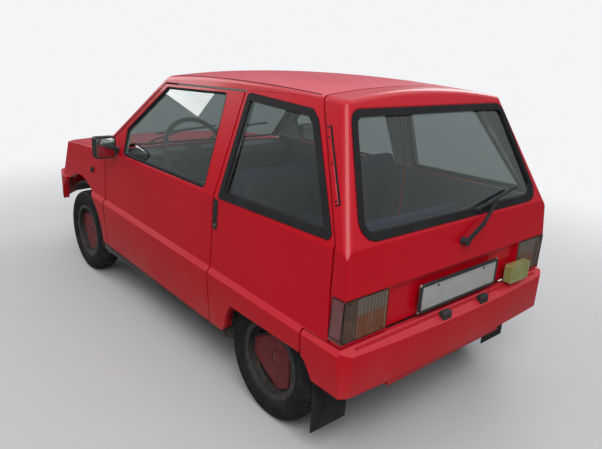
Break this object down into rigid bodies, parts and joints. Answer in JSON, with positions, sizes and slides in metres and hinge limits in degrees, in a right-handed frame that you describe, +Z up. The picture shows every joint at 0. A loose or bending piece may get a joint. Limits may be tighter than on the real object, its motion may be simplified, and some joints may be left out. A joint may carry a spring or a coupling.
{
  "type": "city car",
  "caption": "Tiny three-door hatchback with a hollow cabin, hinged doors, bonnet and tailgate, steered front wheels and spinning wheels.",
  "frame": {"origin": "on the ground under the centre of the car's bounding box", "axes": "+X forward along the car, +Y to its left, +Z up"},
  "size_m": [2.9499, 1.544, 1.3518],
  "materials": {
    "body": "aged red paint",
    "structure": "dull red primer and underseal",
    "glass": "clear glass",
    "rubber": "black rubber",
    "black_plastic": "grained black plastic",
    "lamp_clear": "ribbed clear lens",
    "lamp_amber": "amber lens",
    "lamp_red": "faded red lens",
    "lamp_yellow": "yellow lens",
    "plate": "white plate, blank",
    "underside": "black chassis paint, rusty",
    "engine": "cast metal",
    "seat": "dark blue cloth",
    "tyre": "black rubber",
    "rim": "black steel wheel with red centre"
  },
  "bodies": {
    "chassis": {"roof": "body", "windscreen": "glass", "quarter_left": "body", "quarter_right": "body", "wing_left": "body", "wing_right": "body", "front_panel": "body", "floor_pan": "structure", "front_structure": "structure", "door_hinges": "structure", "tailgate_hinges": "structure", "quarter_glass": "glass", "quarter_seals": "rubber", "mudflaps": "rubber", "grille": "black_plastic", "bumper_front": "body", "bumper_rear": "body", "plate_lamps": "black_plastic", "wipers_front": "black_plastic", "dashboard": "black_plastic", "steering_wheel": "black_plastic", "headlamps": "lamp_clear", "front_indicators": "lamp_amber", "side_repeaters": "lamp_amber", "front_axle": "underside", "rear_axle": "underside", "exhaust": "underside", "engine_block": "engine", "seats_front": "seat", "rear_bench": "seat"},
    "left_door": {"door_left": "body", "door_glass_left": "glass", "mirror_left": "black_plastic"},
    "right_door": {"door_right": "body", "door_glass_right": "glass", "mirror_right": "black_plastic"},
    "bonnet_lid": {"bonnet": "body"},
    "rear_gate": {"tailgate": "body", "tailgate_glass": "glass", "rear_window_seal": "rubber", "tail_lamps": "lamp_red", "rear_plate": "plate", "reversing_lamp": "lamp_yellow", "rear_wiper": "black_plastic"},
    "steer_left": {"knuckle_left": "underside"},
    "steer_right": {"knuckle_right": "underside"},
    "wheel_front_left": {"tyre_front_left": "tyre", "rim_front_left": "rim"},
    "wheel_front_right": {"tyre_front_right": "tyre", "rim_front_right": "rim"},
    "wheel_rear_left": {"tyre_rear_left": "tyre", "rim_rear_left": "rim"},
    "wheel_rear_right": {"tyre_rear_right": "tyre", "rim_rear_right": "rim"}
  },
  "joints": [
    {"name": "left_door_hinge", "type": "hinge", "parent": "chassis", "child": "left_door", "pos_m": [0.48575, 0.636, 0.55], "axis": [0, 0, -1], "range_deg": [0, 65]},
    {"name": "right_door_hinge", "type": "hinge", "parent": "chassis", "child": "right_door", "pos_m": [0.48575, -0.636, 0.55], "axis": [0, 0, 1], "range_deg": [0, 65]},
    {"name": "bonnet_hinge", "type": "hinge", "parent": "chassis", "child": "bonnet_lid", "pos_m": [0.638, 0, 0.803], "axis": [0, -1, 0], "range_deg": [0, 55]},
    {"name": "tailgate_hinge", "type": "hinge", "parent": "chassis", "child": "rear_gate", "pos_m": [-1.10725, 0, 1.318], "axis": [0, 1, 0], "range_deg": [0, 78]},
    {"name": "steer_left_pivot", "type": "hinge", "parent": "chassis", "child": "steer_left", "pos_m": [0.913, 0.525, 0.19], "axis": [0, -0.2079, 0.9781], "range_deg": [-30, 30]},
    {"name": "steer_right_pivot", "type": "hinge", "parent": "chassis", "child": "steer_right", "pos_m": [0.913, -0.525, 0.19], "axis": [0, 0.2079, 0.9781], "range_deg": [-30, 30]},
    {"name": "wheel_front_left_spin", "type": "hinge", "parent": "steer_left", "child": "wheel_front_left", "pos_m": [0.913, 0.577, 0.256], "axis": [0, 1, 0], "continuous": true},
    {"name": "wheel_front_right_spin", "type": "hinge", "parent": "steer_right", "child": "wheel_front_right", "pos_m": [0.913, -0.577, 0.256], "axis": [0, 1, 0], "continuous": true},
    {"name": "wheel_rear_left_spin", "type": "hinge", "parent": "chassis", "child": "wheel_rear_left", "pos_m": [-1.002, 0.567, 0.256], "axis": [0, 1, 0], "continuous": true},
    {"name": "wheel_rear_right_spin", "type": "hinge", "parent": "chassis", "child": "wheel_rear_right", "pos_m": [-1.002, -0.567, 0.256], "axis": [0, 1, 0], "continuous": true}
  ],
  "couplings": [
    {"joint": "steer_right_pivot", "follows": "steer_left_pivot", "ratio": 1}
  ]
}
